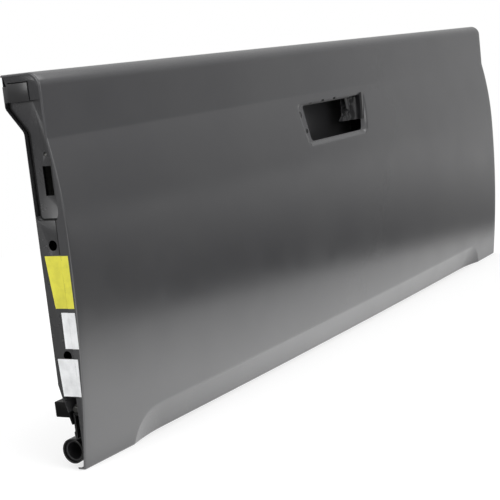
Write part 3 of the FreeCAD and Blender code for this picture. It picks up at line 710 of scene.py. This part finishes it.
@dataclass
class OuterSkin:
    """The outer pressing: crowned face, tucked lower band, handle pocket, roll and hems."""

    form: TailgateForm
    finish: Material
    gauge: float = 1.0
    fold_radius: float = 2.5
    foot_radius: float = 3.0
    flange_length: float = 12.0
    top_length: float = 60.0
    hem_reach: float = 27.5
    hem_trim: float = 6.0
    latch_top: float = 513.0
    latch_foot: float = 350.0
    tuck_height: float = 46.0
    tuck_inset: float = 13.0
    tuck_margin: float = 113.0
    tuck_corner: float = 60.0
    tuck_run: float = 95.0
    pocket_centre: float = -7.5
    pocket_width: float = 257.0
    pocket_corner: float = 14.0
    pocket_depth: float = 4.9
    pocket_tilt: float = 3.9
    pocket_wall: float = 6.0
    foot_wall: float = 4.5
    opening_foot: Pair = (-107.0, 99.0)
    opening_head: Pair = (-123.5, 114.0)
    opening_height: float = 66.5
    opening_rise: float = 2.8
    opening_corner: float = 8.0
    taper: float = 0.078
    cutter_depth: float = 40.0
    notch_size: Pair = (10.0, 36.0)
    notches: tuple[Pair, ...] = ((-91.0, 3.0), (-43.0, 7.0), (4.5, 7.0))
    ledge_holes: tuple[Triple, ...] = ((-135.5, 19.0, 11.5), (-119.5, -11.0, 8.5))
    flange_back: float = field(init=False)
    back_edge: float = field(init=False)

    def __post_init__(self) -> None:
        """Reads where the lower flange and the top end."""
        self.flange_back = self.form.apex + 46.0
        self.back_edge = node_box("outer_skin")[1].y

    def tuck(self, x: float, z: float) -> float:
        """Gives how far the tucked band sinks the face at a place."""
        depth = soft_ramp((self.tuck_height - z) * self.tuck_inset / self.tuck_height, 0.4)
        if depth <= 0:
            return 0.0
        radius = self.tuck_corner
        rise = min(radius, max(0.0, z - self.tuck_height + radius))
        outline = self.form.half_width - self.tuck_margin - radius + math.sqrt(radius**2 - rise**2)
        run = self.tuck_run * (0.4 + 0.6 * depth / self.tuck_inset)
        share = min(1.0, max(0.0, outline - abs(x)) / run)
        return depth * (1.0 - (1.0 - share) ** 2)

    def pocket(self, x: float, z: float) -> float:
        """Gives how far the handle pocket sinks the face at a place."""
        middle = self.form.pocket_middle
        share = 1.0 + self.taper * max(-1.0, min(1.0, 2 * (z - middle) / self.form.pocket_height))
        inner = inside_distance((x - self.pocket_centre) / share, z - middle, self.pocket_width / 2,
                                self.form.pocket_height / 2, self.pocket_corner)
        if inner < -self.pocket_wall:
            return 0.0
        wall = self.pocket_wall + self.foot_wall * soft_step((middle - z) / 30.0 - 0.2)
        lean = math.tan(math.radians(self.pocket_tilt)) * (z - middle)
        ledge = self.form.face_offset(middle) + self.pocket_depth + lean
        depth = ledge - self.form.face_offset(z) - self.form.crown_offset(x)
        return depth * soft_step((inner + self.pocket_wall / 4) / wall)

    def rows(self) -> list[float]:
        """Lays out the rows of the sheet: below 0 the flange, then heights, then past the top."""
        form = self.form
        crease, roll = form.crease, form.roll_start
        tuck = self.tuck_height + 8
        foot = form.pocket_middle - form.pocket_height / 2
        head = foot + form.pocket_height
        over = roll + form.roll_length
        return chain([
            (-self.flange_length, 0.0, 6.0), (0.0, self.foot_radius, 1.0), (self.foot_radius, tuck, 2.0),
            (tuck, foot - 8, 15.0), (foot - 8, foot + 8, 0.8), (foot + 8, head - 8, 8.0),
            (head - 8, head + 7, 0.8), (head + 7, crease - 6, 3.0), (crease - 6, crease + 6, 1.5),
            (crease + 6, roll, 10.0), (roll, over, 2.4), (over, over + self.top_length, 12.0),
        ])

    def columns(self) -> list[float]:
        """Lays out the columns of the sheet along its developed width."""
        form = self.form
        flat = form.half_width - self.fold_radius
        fold = flat + self.fold_radius * math.pi / 2
        tuck_end = form.half_width - self.tuck_margin
        pocket = self.pocket_width / 2 + abs(self.pocket_centre)
        half = chain([
            (0.0, pocket - 44, 18.0), (pocket - 44, pocket + 16, 0.9), (pocket + 16, tuck_end - 100, 22.0),
            (tuck_end - 100, tuck_end + 12, 2.4), (tuck_end + 12, flat, 16.0), (flat, fold, 0.6),
            (fold, fold + 1.0, 0.34),
        ])
        return both_ways(half)

    def section(self, x: float, v: float) -> tuple[float, float, Vector]:
        """Follows the section of the skin at a place along the width.

        Args:
            x: place along the width.
            v: developed place along the section.

        Returns:
            Place forward, height, and the direction into the tailgate.
        """
        form = self.form
        crown = form.crown_offset(x)
        band = form.apex + form.upper_sweep + crown
        roll_start, roll_length = form.roll_start, form.roll_length
        if v < self.foot_radius:
            z = self.foot_radius
            face = form.apex + form.face_offset(z) + crown + self.tuck(x, z)
            if v > 0:
                turn = (1 - v / self.foot_radius) * math.pi / 2
                y = face + self.foot_radius * (1 - math.cos(turn))
                return y, z * (1 - math.sin(turn)), Vector((0, math.cos(turn), math.sin(turn)))
            share = -v / self.flange_length
            start = face + self.foot_radius
            return start + (self.flange_back - start) * share, 0.0, Vector((0, 0, 1))
        if v <= roll_start:
            bend = soft_ramp(v - form.crease, 4.0) - max(0.0, v - form.crease)
            sink = self.tuck(x, v) + self.pocket(x, v)
            slope = form.upper_sweep / (form.crease - form.apex_height)
            y = form.apex + form.face_offset(v) + crown + sink - bend * slope
            return y, v, Vector((0, 1, 0))
        if v < roll_start + roll_length:
            turn = (v - roll_start) / form.roll_radius
            y = band + form.roll_radius * (1 - math.cos(turn))
            inward = Vector((0, math.cos(turn), -math.sin(turn)))
            return y, roll_start + form.roll_radius * math.sin(turn), inward
        share = (v - roll_start - roll_length) / self.top_length
        start = band + form.roll_radius
        return start + (self.back_edge - start) * share, form.top, Vector((0, 0, -1))

    def place(self, u: float, v: float) -> Vector:
        """Gives the point of the sheet at developed places across and along."""
        form = self.form
        side = math.copysign(1.0, u)
        reach = abs(u)
        flat = form.half_width - self.fold_radius
        fold = self.fold_radius * math.pi / 2
        x = min(reach, flat)
        turn = min(max(reach - flat, 0.0) / self.fold_radius, math.pi / 2)
        out = x + self.fold_radius * math.sin(turn)
        y, z, inward = self.section(side * out, v)
        depth = self.fold_radius * (1 - math.cos(turn))
        share = max(0.0, reach - flat - fold)
        trimmed = self.latch_foot < z < self.latch_top
        hem = form.apex + self.hem_reach - (self.hem_trim if trimmed else 0.0)
        length = max(0.8, hem - y - depth) if inward.z == 0 else 0.8 + 2.5 * inward.y
        return Vector((side * out, y, z)) + inward * (depth + share * length)

    def cutters(self) -> list[Mesh]:
        """Makes the cutter of the opening, and that of the screw holes and the notches in its edge."""
        half = self.opening_height / 2
        width = self.opening_head[1] - self.opening_head[0]
        opening = rounded_box(width, self.cutter_depth, self.opening_height, self.opening_corner)
        for vert in opening.verts:
            left, right = Vector(self.opening_foot).lerp(self.opening_head, vert.co.z / (2 * half) + 0.5)
            vert.co.x = left + (right - left) * (vert.co.x / width + 0.5)
            vert.co.z += self.opening_rise
        small = bmesh.new()
        quarter = Matrix.Rotation(math.pi / 2, 3, "X")
        for across, up, size in self.ledge_holes:
            hole = bmesh.ops.create_cone(small, cap_ends=True, segments=24, depth=self.cutter_depth,
                                         radius1=size / 2, radius2=size / 2)
            move(small, hole["verts"], (across, 0, up), quarter)
        for across, height in self.notches:
            notch = bmesh.ops.create_cube(small, size=1.0)
            bmesh.ops.scale(small, vec=(*self.notch_size, height), verts=notch["verts"])
            move(small, notch["verts"], (across, 0, half + self.opening_rise))
        return [self.on_ledge(opening), self.on_ledge(small)]

    def on_ledge(self, bm: Mesh) -> Mesh:
        """Stands a mesh made about the origin on the ledge of the pocket."""
        middle = self.form.pocket_middle
        lean = Matrix.Rotation(-math.radians(self.pocket_tilt), 3, "X")
        forward = self.form.apex + self.form.face_offset(middle) + self.pocket_depth
        move(bm, bm.verts, (0, forward, middle), lean)
        return bm

    def build(self) -> Piece:
        """Builds the skin and hides the plain one."""
        bm = mapped_sheet(self.columns(), self.rows(), self.place)
        face_towards(bm, (0, -1, 0))
        skin = new_piece("skin_pressing", bm, self.finish, "primed_skin")
        pressed_wall(skin, self.gauge, self.cutters())
        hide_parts("outer_skin")
        log.info("outer skin: %d faces", len(skin.data.polygons))
        return skin


# Inner panel

@dataclass
class BedSide:
    """The inner panel between its ends: foot, long beads, slope and the back of the top rail."""

    form: TailgateForm
    finish: Material
    reach: float = 750.0
    gauge: float = 1.0
    set_in: float = 27.0
    foot_radius: float = 12.0
    foot_flange: float = 47.0
    rail_height: float = 46.0
    rail_slope: float = 34.0
    rail_bend: float = 11.0
    bead_depth: float = 5.0
    bead_half: float = 20.0
    bead_wall: float = 9.0
    bead_reach: float = 660.0
    bead_levels: tuple[float, ...] = (95.0, 187.0, 279.0)
    cover_hole: Triple = (332.0, 84.0, 12.0)
    cutter_depth: float = 20.0

    @property
    def back(self) -> float:
        """Plane of the panel's bed side."""
        return self.form.back - self.set_in

    def bead(self, x: float, z: float) -> float:
        """Gives how far a bead sinks the panel at a place."""
        rise = min(abs(z - level) for level in self.bead_levels)
        outside = math.hypot(max(abs(x) - self.bead_reach + self.bead_half, 0.0), rise)
        return self.bead_depth * soft_step((self.bead_half + self.bead_wall / 2 - outside) / self.bead_wall)

    def place(self, x: float, spot: Vector) -> Vector:
        """Gives the point of the sheet at a place across and a point of its section."""
        sunk = self.bead(x, spot.y) if abs(spot.x - self.back) < 0.1 else 0.0
        return Vector((x, spot.x - sunk, spot.y))

    def build(self) -> Piece:
        """Builds the panel's bed side."""
        rail_foot = self.form.top - self.rail_height
        section = rounded_path([
            (self.form.apex + self.foot_flange, 0.0, 0.0), (self.back, 0.0, self.foot_radius),
            (self.back, rail_foot - self.rail_slope, self.rail_bend),
            (self.form.back, rail_foot, self.rail_bend), (self.form.back, self.form.top - self.gauge, 0.0),
        ], 2.4)
        bead_end = self.bead_reach + 12.0
        bend = bead_end - 60.0
        half = chain([(0.0, bend, 24.0), (bend, bead_end, 2.4), (bead_end, self.reach, 20.0)])
        bm = mapped_sheet(both_ways(half), section, self.place)
        face_towards(bm, (0, 1, 0))
        panel = new_piece("panel_pressing", bm, self.finish, "primed_panel")
        width, height, corner = self.cover_hole
        tool = rounded_box(width, self.cutter_depth, height, corner)
        move(tool, tool.verts, (0, self.back, self.form.pocket_middle))
        pressed_wall(panel, self.gauge, [tool])
        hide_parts("inner_panel")
        log.info("panel: %d faces", len(panel.data.polygons))
        return panel


@dataclass
class CoverScrews:
    """Screws round the edge of the access cover."""

    finish: Material
    inset: float = 7.0
    columns: int = 5

    def build(self) -> Piece:
        """Builds the screws on the face of the cover."""
        low, high = node_box("access_cover")
        bm = bmesh.new()
        screw = HexBolt(flats=7.0, height=2.6, flange=5.2)
        for z in (low.z + self.inset, high.z - self.inset):
            for x in spread(low.x + 2 * self.inset, high.x - 2 * self.inset,
                            (high.x - low.x) / (self.columns - 1)):
                screw.add(bm, Vector((x, high.y - 0.05, z)), Vector((0, 1, 0)))
        return new_piece("cover_screws", bm, self.finish, "plated_steel")


# Fittings of each end

@dataclass
class HingeCup:
    """Round cup with a rolled rim and the plastic ring inside it."""

    side: Side
    metal: Material
    plastic: Material
    wall: float = 2.5
    rim: float = 1.1
    ring_wall: float = 3.0
    ring_depth: Pair = (3.5, 27.5)
    ring_gap: float = 0.2

    def turned(self, bm: Mesh, name: str, finish: Material, slot: str,
               node: str) -> None:
        """Stands a mesh turned about the X axis at the hinge and hides the plain node."""
        low, high = node_box("left_hinge_cup")
        centre = (low + high) / 2
        move(bm, bm.verts, (low.x, centre.y, centre.z))
        label = self.side.label
        piece = new_piece(f"{label}_{name}", to_side(bm, self.side), finish, slot, 40.0)
        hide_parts(f"{label}_{node}")

    def build(self) -> None:
        """Builds the cup and its ring."""
        low, high = node_box("left_hinge_cup")
        length, radius = high.x - low.x, (high.z - low.z) / 2
        bore = radius - self.wall
        cup = rounded_path([
            (length, 0.0, 0.0), (length, radius, 2.0), (0.0, radius, self.rim), (0.0, bore, self.rim),
            (length - self.wall, bore, 0.6), (length - self.wall, 0.0, 0.0),
        ], 6.0)
        self.turned(lathed(cup, closed=False), "cup", self.metal, "primed_steel", "hinge_cup")
        outer = bore - self.ring_gap
        inner = outer - self.ring_wall
        start, end = self.ring_depth
        ring = rounded_path([
            (end, inner, 0.0), (start, inner, 0.8), (start, outer, 0.8), (end, outer, 0.0),
        ], 6.0)
        self.turned(lathed(ring, closed=True), "ring", self.plastic, "bushing_plastic", "hinge_bushing")


@dataclass
class CornerStud:
    """Stud and nut in the open hinge corner."""

    side: Side
    finish: Material
    place: Triple = (-808.0, -3.2, 84.6)
    root: float = 19.6

    def build(self) -> Piece:
        """Builds the stud."""
        bm = bmesh.new()
        nut = HexBolt(flats=8.8, height=4.6, flange=7.0, shank=self.root)
        nut.add(bm, Vector(self.place), Vector((-1, 0, 0)))
        name = f"{self.side.label}_corner_stud"
        return new_piece(name, to_side(bm, self.side), self.finish, "plated_steel")


@dataclass
class LatchSeam:
    """Black strip of painted shade on the end wall, for the dark gap and shaded recess wall that run on from
    the slit round the lower corner of the latch area.
    """

    side: Side
    finish: Material
    label: str = "latch_seam"
    width: float = 2.4
    wall: float = -814.0
    corners: tuple[Triple, ...] = (
        (38.4, 512.0, 0.0), (38.4, 504.0, 4.0), (11.4, 470.0, 18.0), (11.4, 351.4, 5.5), (-17.6, 351.4, 0.0),
    )
    lift: float = 0.08

    def build(self) -> Piece:
        """Builds the strip of painted shade."""
        line = rounded_path(self.corners, 3.0)

        def place(across: float, index: float) -> Vector:
            spot = line[int(index)]
            along = line[min(int(index) + 1, len(line) - 1)] - line[max(int(index) - 1, 0)]
            off = Vector((-along.y, along.x)).normalized() * across
            return Vector((self.wall - self.lift, spot.x + off.x, spot.y + off.y))

        half = self.width / 2
        bm = mapped_sheet([-half, half], range(len(line)), place)
        face_towards(bm, (-1, 0, 0))
        name = f"{self.side.label}_{self.label}"
        return new_piece(name, to_side(bm, self.side), self.finish, "stop_rubber")


@dataclass
class Sticker:
    """Blank paper sticker that follows the end wall and steps up onto the hem."""

    name: str
    finish: Material
    corners: tuple[Pair, ...]
    hem_edge: float = -18.0
    wall: float = -819.0
    lift: float = 0.12
    step_width: float = 1.5
    peel: float = 0.9
    peel_share: float = 0.16
    cells: int = 28

    def place(self, across: float, up: float) -> Vector:
        """Gives the point at a share across, from the bed side, and a share up."""
        low_back, low_front, high_front, high_back = (Vector(c) for c in self.corners)
        spot = low_back.lerp(low_front, across).lerp(high_back.lerp(high_front, across), up)
        step = soft_step((self.hem_edge + self.step_width - spot.x) / self.step_width)
        bent = max(0.0, self.peel_share - across) ** 2 / self.peel_share**2
        peel = self.peel * bent * (1.0 - 0.6 * up)
        return Vector((self.wall - self.lift - step - peel, spot.x, spot.y))

    def build(self) -> Piece:
        """Builds the sticker."""
        shares = spread(0.0, 1.0, 1.0 / self.cells)
        bm = mapped_sheet(shares, shares, self.place)
        face_towards(bm, (-1, 0, 0))
        return new_piece(self.name, bm, self.finish, "primed_panel")


@dataclass
class HandleFilm:
    """Crumpled dark film tucked behind the end of the handle opening."""

    finish: Material
    foot: float = 397.0
    head: float = 447.0
    taper: float = 0.22
    line: tuple[Triple, ...] = (
        (71.0, -13.0, 0.0), (84.0, -25.0, 5.0), (97.0, -13.0, 5.0), (109.0, -27.0, 5.0), (111.0, -38.0, 3.0),
        (123.0, -35.5, 0.0),
    )
    crumple: float = 7.0
    crumple_end: float = 108.0
    folds: tuple[Pair, ...] = ((0.09, 1.0), (0.2, 0.5), (0.45, 0.2))

    def build(self) -> Piece:
        """Builds the film."""
        line = rounded_path(self.line, 1.6)

        def place(index: float, height: float) -> Vector:
            spot = line[int(index)]
            calm = soft_step((self.crumple_end - spot.x) / 12.0)
            fold = 0.0
            for scale, weight in self.folds:
                fold += weight * noise.noise(Vector((spot.x * scale, weight * 9.0, height * scale * 0.35)))
            lean = 0.07 * (height - self.head) * (1.0 - calm)
            shift = self.taper * (height - self.head)
            return Vector((spot.x + shift, spot.y + lean + calm * self.crumple * fold, height))

        bm = mapped_sheet(range(len(line)), spread(self.foot, self.head, 1.1), place)
        face_towards(bm, (0, -1, 0))
        return new_piece("handle_film", bm, self.finish, "bushing_plastic", 24.0)


# Studio

@dataclass(frozen=True)
class Lamp:
    """A soft area lamp."""

    name: str
    place: Triple
    towards: Triple
    size: Pair
    power: float

    def build(self) -> None:
        """Adds the lamp to the scene."""
        data = bpy.data.lights.new(self.name, "AREA")
        data.shape = "RECTANGLE"
        data.size, data.size_y = self.size
        data.energy = self.power
        lamp = add_object(self.name, data)
        lamp.location = self.place
        aim = Vector(self.towards) - Vector(self.place)
        lamp.rotation_euler = aim.to_track_quat("-Z", "Y").to_euler()


@dataclass
class Studio:
    """Floor, lamps, world and camera."""

    eye: Triple = (-2.1767, -1.1415, 0.5370)
    forward: Triple = (0.8452, 0.5145, -0.1449)
    upward: Triple = (0.1811, -0.0206, 0.9834)
    lens: float = 93.95
    shift: Pair = (0.0008, -0.001)
    ambient: float = 0.45
    horizon: Range = (0.0, 0.3)
    horizon_ahead: Range = (0.78, 0.92, 0.22, 0.65)
    horizon_glow: float = 0.6
    zenith: Range = (0.3, 0.9)
    zenith_glow: float = 1.15
    # Painted reflection map that the floor shows to glossy rays: paper edge, bed side and distant glow.
    paper_normal: Triple = (0.301, -0.954, 0.0)
    paper_edge: float = 0.42
    paper_softness: float = 0.09
    paper_glow: Pair = (2.0, 1.0)
    bed_side: Range = (-0.06, 0.08)
    bed_side_glow: float = 0.2
    far_glow: Range = (0.4, 2.6, 0.05, 0.72)
    distant: Range = (2.4, 6.0)
    distant_glow: Range = (-0.78, -0.42, 0.12, 0.65)
    plain_grey: float = 0.8
    shaded_grey: float = 0.5
    shaded_lift: float = 0.58
    shadow_end: Range = (1.1, 1.9)
    lamps: tuple[Lamp, ...] = (
        Lamp("soft_overhead", (0.2, -1.2, 3.4), (0.0, 0.0, 0.3), (4.0, 3.0), 75.0),
        Lamp("soft_front", (-1.6, -3.6, 1.6), (0.0, 0.0, 0.3), (2.6, 2.4), 40.0),
        Lamp("soft_end", (-3.6, 0.6, 1.6), (-0.8, 0.0, 0.3), (1.6, 1.8), 32.0),
        Lamp("soft_bed_side", (0.4, 3.4, 2.2), (0.0, 0.0, 0.3), (3.4, 2.2), 60.0),
    )

    def world(self) -> None:
        """Makes a white surround that lights the object softly and dims near the ground in reflections."""
        world = bpy.data.worlds.new("studio")
        world.use_nodes = True
        tree = Tree(world.node_tree)
        rays = tree.add("ShaderNodeLightPath").outputs
        way = tree.add("ShaderNodeTexCoord").outputs["Generated"]
        rise = tree.add("ShaderNodeSeparateXYZ", Vector=way).outputs["Z"]
        ahead = tree.add("ShaderNodeSeparateXYZ", Vector=way).outputs["X"]
        ground = tree.ramp(ahead, *self.horizon_ahead)
        low = tree.choose(tree.ramp(rise, *self.horizon), ground, self.horizon_glow)
        mirrored = tree.choose(tree.ramp(rise, *self.zenith), low, self.zenith_glow)
        unseen = tree.choose(rays["Is Glossy Ray"], self.ambient, mirrored)
        strength = tree.choose(rays["Is Camera Ray"], unseen, 1.0)
        shown = tree.add("ShaderNodeBackground", Color=WHITE, Strength=strength)
        tree.add("ShaderNodeOutputWorld", Surface=shown.outputs[0])
        bpy.context.scene.world = world

    def floor(self) -> None:
        """Makes the pale floor: white to the camera but for a soft shadow; to glossy rays it glows as a
        painted reflection, bright up to a paper edge and dim beyond.
        """
        bm = bmesh.new()
        bmesh.ops.create_grid(bm, x_segments=1, y_segments=1, size=12.0)
        mesh = bpy.data.meshes.new("floor")
        bm.to_mesh(mesh)
        bm.free()
        material = bpy.data.materials.new("studio_floor")
        material.use_nodes = True
        tree = Tree(material.node_tree)
        rays = tree.add("ShaderNodeLightPath").outputs
        place = tree.add("ShaderNodeNewGeometry").outputs["Position"]
        reach = tree.numbered("ShaderNodeVectorMath", {0: place, 1: self.paper_normal},
                              operation="DOT_PRODUCT").outputs["Value"]
        edge, soft = self.paper_edge, self.paper_softness
        near = tree.ramp(reach, 0.0, edge, *self.paper_glow)
        parts = tree.add("ShaderNodeSeparateXYZ", Vector=place).outputs
        behind = tree.ramp(parts["Y"], *self.bed_side, easing="SMOOTHSTEP")
        near = tree.choose(behind, near, self.bed_side_glow)
        bearing = tree.numbered("ShaderNodeMath", {0: parts["Y"], 1: parts["X"]}, operation="DIVIDE")
        distant = tree.ramp(bearing.outputs[0], *self.distant_glow)
        far = tree.ramp(parts["X"], *self.far_glow)
        far = tree.choose(tree.ramp(parts["X"], *self.distant), far, distant)
        past_edge = tree.ramp(reach, edge - soft, edge + soft, easing="SMOOTHSTEP")
        # Painted reflection: the floor glows for glossy rays though it is no lamp.
        mirrored = tree.add("ShaderNodeEmission", Color=WHITE, Strength=tree.choose(past_edge, near, far))
        plain = tree.add("ShaderNodeBsdfDiffuse", Color=(*(self.plain_grey,) * 3, 1.0))
        shaded = tree.add("ShaderNodeBsdfDiffuse", Color=(*(self.shaded_grey,) * 3, 1.0))
        lifted = tree.add("ShaderNodeEmission", Color=WHITE, Strength=self.shaded_lift)
        both = tree.numbered("ShaderNodeAddShader", {0: shaded.outputs[0], 1: lifted.outputs[0]})
        distance = tree.numbered("ShaderNodeVectorMath", {0: place}, operation="LENGTH").outputs["Value"]
        blank = tree.add("ShaderNodeEmission", Color=WHITE, Strength=1.0)
        seen = tree.join(tree.ramp(distance, *self.shadow_end), both, blank)
        unseen = tree.join(rays["Is Glossy Ray"], plain, mirrored)
        surface = tree.join(rays["Is Camera Ray"], unseen, seen)
        tree.add("ShaderNodeOutputMaterial", Surface=surface.outputs[0])
        mesh.materials.append(material)
        floor = add_object("floor", mesh)

    def camera(self) -> None:
        """Sets the camera where the photograph was taken from."""
        data = bpy.data.cameras.new("camera")
        data.lens = self.lens
        data.sensor_width = 36.0
        data.shift_x, data.shift_y = self.shift
        forward, upward = Vector(self.forward).normalized(), Vector(self.upward).normalized()
        right = forward.cross(upward).normalized()
        upward = right.cross(forward)
        turn = Matrix((right, upward, -forward)).transposed().to_4x4()
        camera = add_object("camera", data)
        camera.matrix_world = Matrix.Translation(self.eye) @ turn
        bpy.context.scene.camera = camera

    def build(self) -> None:
        """Builds the studio."""
        bpy.context.scene.view_settings.view_transform = "Standard"
        self.world()
        self.floor()
        self.camera()
        for lamp in self.lamps:
            lamp.build()
        log.info("studio: %d lamps", len(self.lamps))


def dress(finishes: dict[str, Material]) -> dict[str, str]:
    """Gives each node of the construction the material of its slot.

    Args:
        finishes: material of each slot.

    Returns:
        The slot of each node.
    """
    slots = {part["node"]: part["material_slot"] for part in frame["record"]["subparts"]}
    for name, node in frame["nodes"].items():
        node.data.materials.clear()
        node.data.materials.append(finishes[slots[name]])
    return slots


def main() -> None:
    """Builds the tailgate's looks and the studio."""
    logging.basicConfig(level=logging.INFO, format="%(name)s: %(message)s")
    panel = Primer("panel_primer", (0.034, 0.034, 0.036), (0.06, 0.06, 0.06), 0.26, 0.4)
    bracket = Primer("bracket_primer", (0.02, 0.02, 0.021), (0.04, 0.04, 0.04), 0.28)
    cover = Primer("cover_primer", (0.036, 0.036, 0.038), (0.06, 0.06, 0.06), 0.3, 0.5)
    finishes = {
        "primed_skin": Primer("skin_primer").material(),
        "primed_panel": panel.material(),
        "primed_steel": bracket.material(),
        "primed_cover": cover.material(),
        # Plated steel darkened as painted shade, for the stud in the shaded hinge corner; the cover screws
        # keep the plain zinc.
        "plated_steel": PlatedSteel("dark_zinc", (0.1, 0.1, 0.095)).material(),
        "bushing_plastic": Moulded("bushing_black", roughness=0.3).material(),
        "stop_rubber": Moulded("stop_black", (0.004, 0.004, 0.004), 0.5, 900.0, 1.22).material(),
    }
    bright_zinc = PlatedSteel("bright_zinc").material()
    # Near-black finish of the painted shade strips at the latch recess and behind the hem.
    gap_and_shade = Moulded("gap_black", (0.001, 0.001, 0.001), 0.9).material()
    hinge_black = Moulded("hinge_black", (0.006, 0.006, 0.006), 0.2, 1200.0, 1.36).material()
    slots = dress(finishes)
    form = TailgateForm.from_frame()
    OuterSkin(form, finishes["primed_skin"]).build()
    BedSide(form, finishes["primed_panel"]).build()
    CoverScrews(bright_zinc).build()
    copies = [("access_cover", 0.5), ("handle_frame", 0.3), ("handle_lug", 0.3)]
    for side in Side:
        label = side.label
        copies += [(f"{label}_latch", 0.4), (f"{label}_hinge_bracket", 0.6), (f"{label}_rail_tab", 0.25)]
        ends = SoftCopy("inner_panel", "primed_panel", finishes["primed_panel"], beyond=(side, BedSide.reach))
        ends.build()
        SoftCopy(f"{label}_rubber_stop", "stop_rubber", finishes["stop_rubber"], 1.4, 3).build()
        HingeCup(side, hinge_black, finishes["bushing_plastic"]).build()
        CornerStud(side, finishes["plated_steel"]).build()
        # Painted shade: a black strip for the gap and shaded wall round the latch recess.
        LatchSeam(side, gap_and_shade).build()
        # Painted shadow: a black line on the end wall just behind the hem's edge.
        LatchSeam(side, gap_and_shade, "hem_seam", 1.8, -819.0, ((-16.9, 351.4, 0.0), (-16.9, 302.5, 0.0))).build()
    for node, radius in copies:
        finish = hinge_black if node.endswith("hinge_bracket") else finishes[slots[node]]
        SoftCopy(node, slots[node], finish, radius).build()
    yellow = Paper("yellow_paper", (0.72, 0.68, 0.06)).material()
    white = Paper("white_paper", (0.82, 0.83, 0.84)).material()
    for name, paper, corners in (
        ("yellow_sticker", yellow, ((2.4, 228.8), (-29.7, 228.8), (-30.4, 301.6), (10.2, 301.6))),
        ("white_sticker", white, ((-5.5, 172.5), (-28.6, 172.5), (-29.4, 223.0), (-5.5, 223.0))),
        ("pale_sticker", white, ((8.5, 105.0), (-22.0, 105.0), (-24.0, 158.0), (11.5, 158.0))),
    ):
        Sticker(name, paper, corners).build()
    HandleFilm(Moulded("black_film", roughness=0.1, ior=1.28).material()).build()
    Studio().build()


if __name__ == "__main__":
    main()
